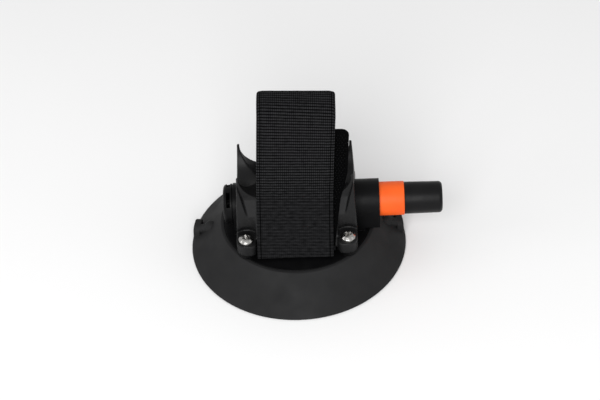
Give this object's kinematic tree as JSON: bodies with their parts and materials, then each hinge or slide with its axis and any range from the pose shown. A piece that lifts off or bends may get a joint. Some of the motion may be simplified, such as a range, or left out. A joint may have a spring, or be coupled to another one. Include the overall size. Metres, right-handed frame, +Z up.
{
  "type": "vacuum-cup wheel holder",
  "caption": "Hand-pumped suction cup carrying a moulded saddle, with a hook-and-loop strap that ties a bicycle wheel down onto it.",
  "frame": {"origin": "centre of the cup's sealing lip, on the surface that the cup grips", "axes": "+X along the pump towards its plunger, which is also the way the wheel rolls; +Z up out of the gripped surface; -Y is the side on which the strap's free end lies"},
  "size_m": [0.1333, 0.1142, 0.1025],
  "materials": {
    "cup_rubber": "matte",
    "zinc_plate": "satin",
    "stainless": "polished",
    "felt": "matte",
    "black_plastic": "satin",
    "saddle_plastic": "satin",
    "knob_plastic": "satin",
    "orange_plastic": "satin",
    "brass": "satin",
    "valve_rubber": "matte",
    "aluminium": "satin",
    "spring_steel": "bright",
    "hook_tape": "matte",
    "webbing": "woven"
  },
  "bodies": {
    "mount": {"vacuum_cup": "cup_rubber", "clamp_plate": "zinc_plate", "clamp_screws": "stainless", "inlet_filter": "felt", "pump_body": "black_plastic", "threaded_inserts": "brass", "valve_plate": "black_plastic", "valve_plate_seal": "valve_rubber", "end_cap": "black_plastic", "guide_ring": "black_plastic", "wheel_cradle": "saddle_plastic", "cradle_screws": "stainless", "strap_hook_end": "hook_tape", "strap_webbing": "webbing", "return_spring": "spring_steel"},
    "plunger": {"plunger_knob": "knob_plastic", "indicator_ring": "orange_plastic", "plunger_rod": "aluminium", "piston": "black_plastic", "piston_seal": "valve_rubber", "piston_screw": "stainless"},
    "exhaust_disc": {"exhaust_valve": "valve_rubber"},
    "inlet_disc": {"inlet_valve": "valve_rubber"},
    "strap_free_end": {"strap_tail": "webbing"}
  },
  "joints": [
    {"name": "plunger_stroke", "type": "slide", "parent": "mount", "child": "plunger", "axis": [1, 0, 0], "range_m": [-0.025, 0], "stiffness_N_per_m": 260, "springref_m": 0.03, "deforming": ["return_spring"]},
    {"name": "exhaust_lift", "type": "slide", "parent": "mount", "child": "exhaust_disc", "axis": [-1, 0, 0], "range_m": [0, 0.0008]},
    {"name": "inlet_lift", "type": "slide", "parent": "mount", "child": "inlet_disc", "axis": [0, 0, 1], "range_m": [0, 0.0008]},
    {"name": "strap_peel", "type": "hinge", "parent": "mount", "child": "strap_free_end", "pos_m": [0.0029, -0.002, 0.1026], "axis": [-1, 0, 0], "range_deg": [0, 110]}
  ]
}
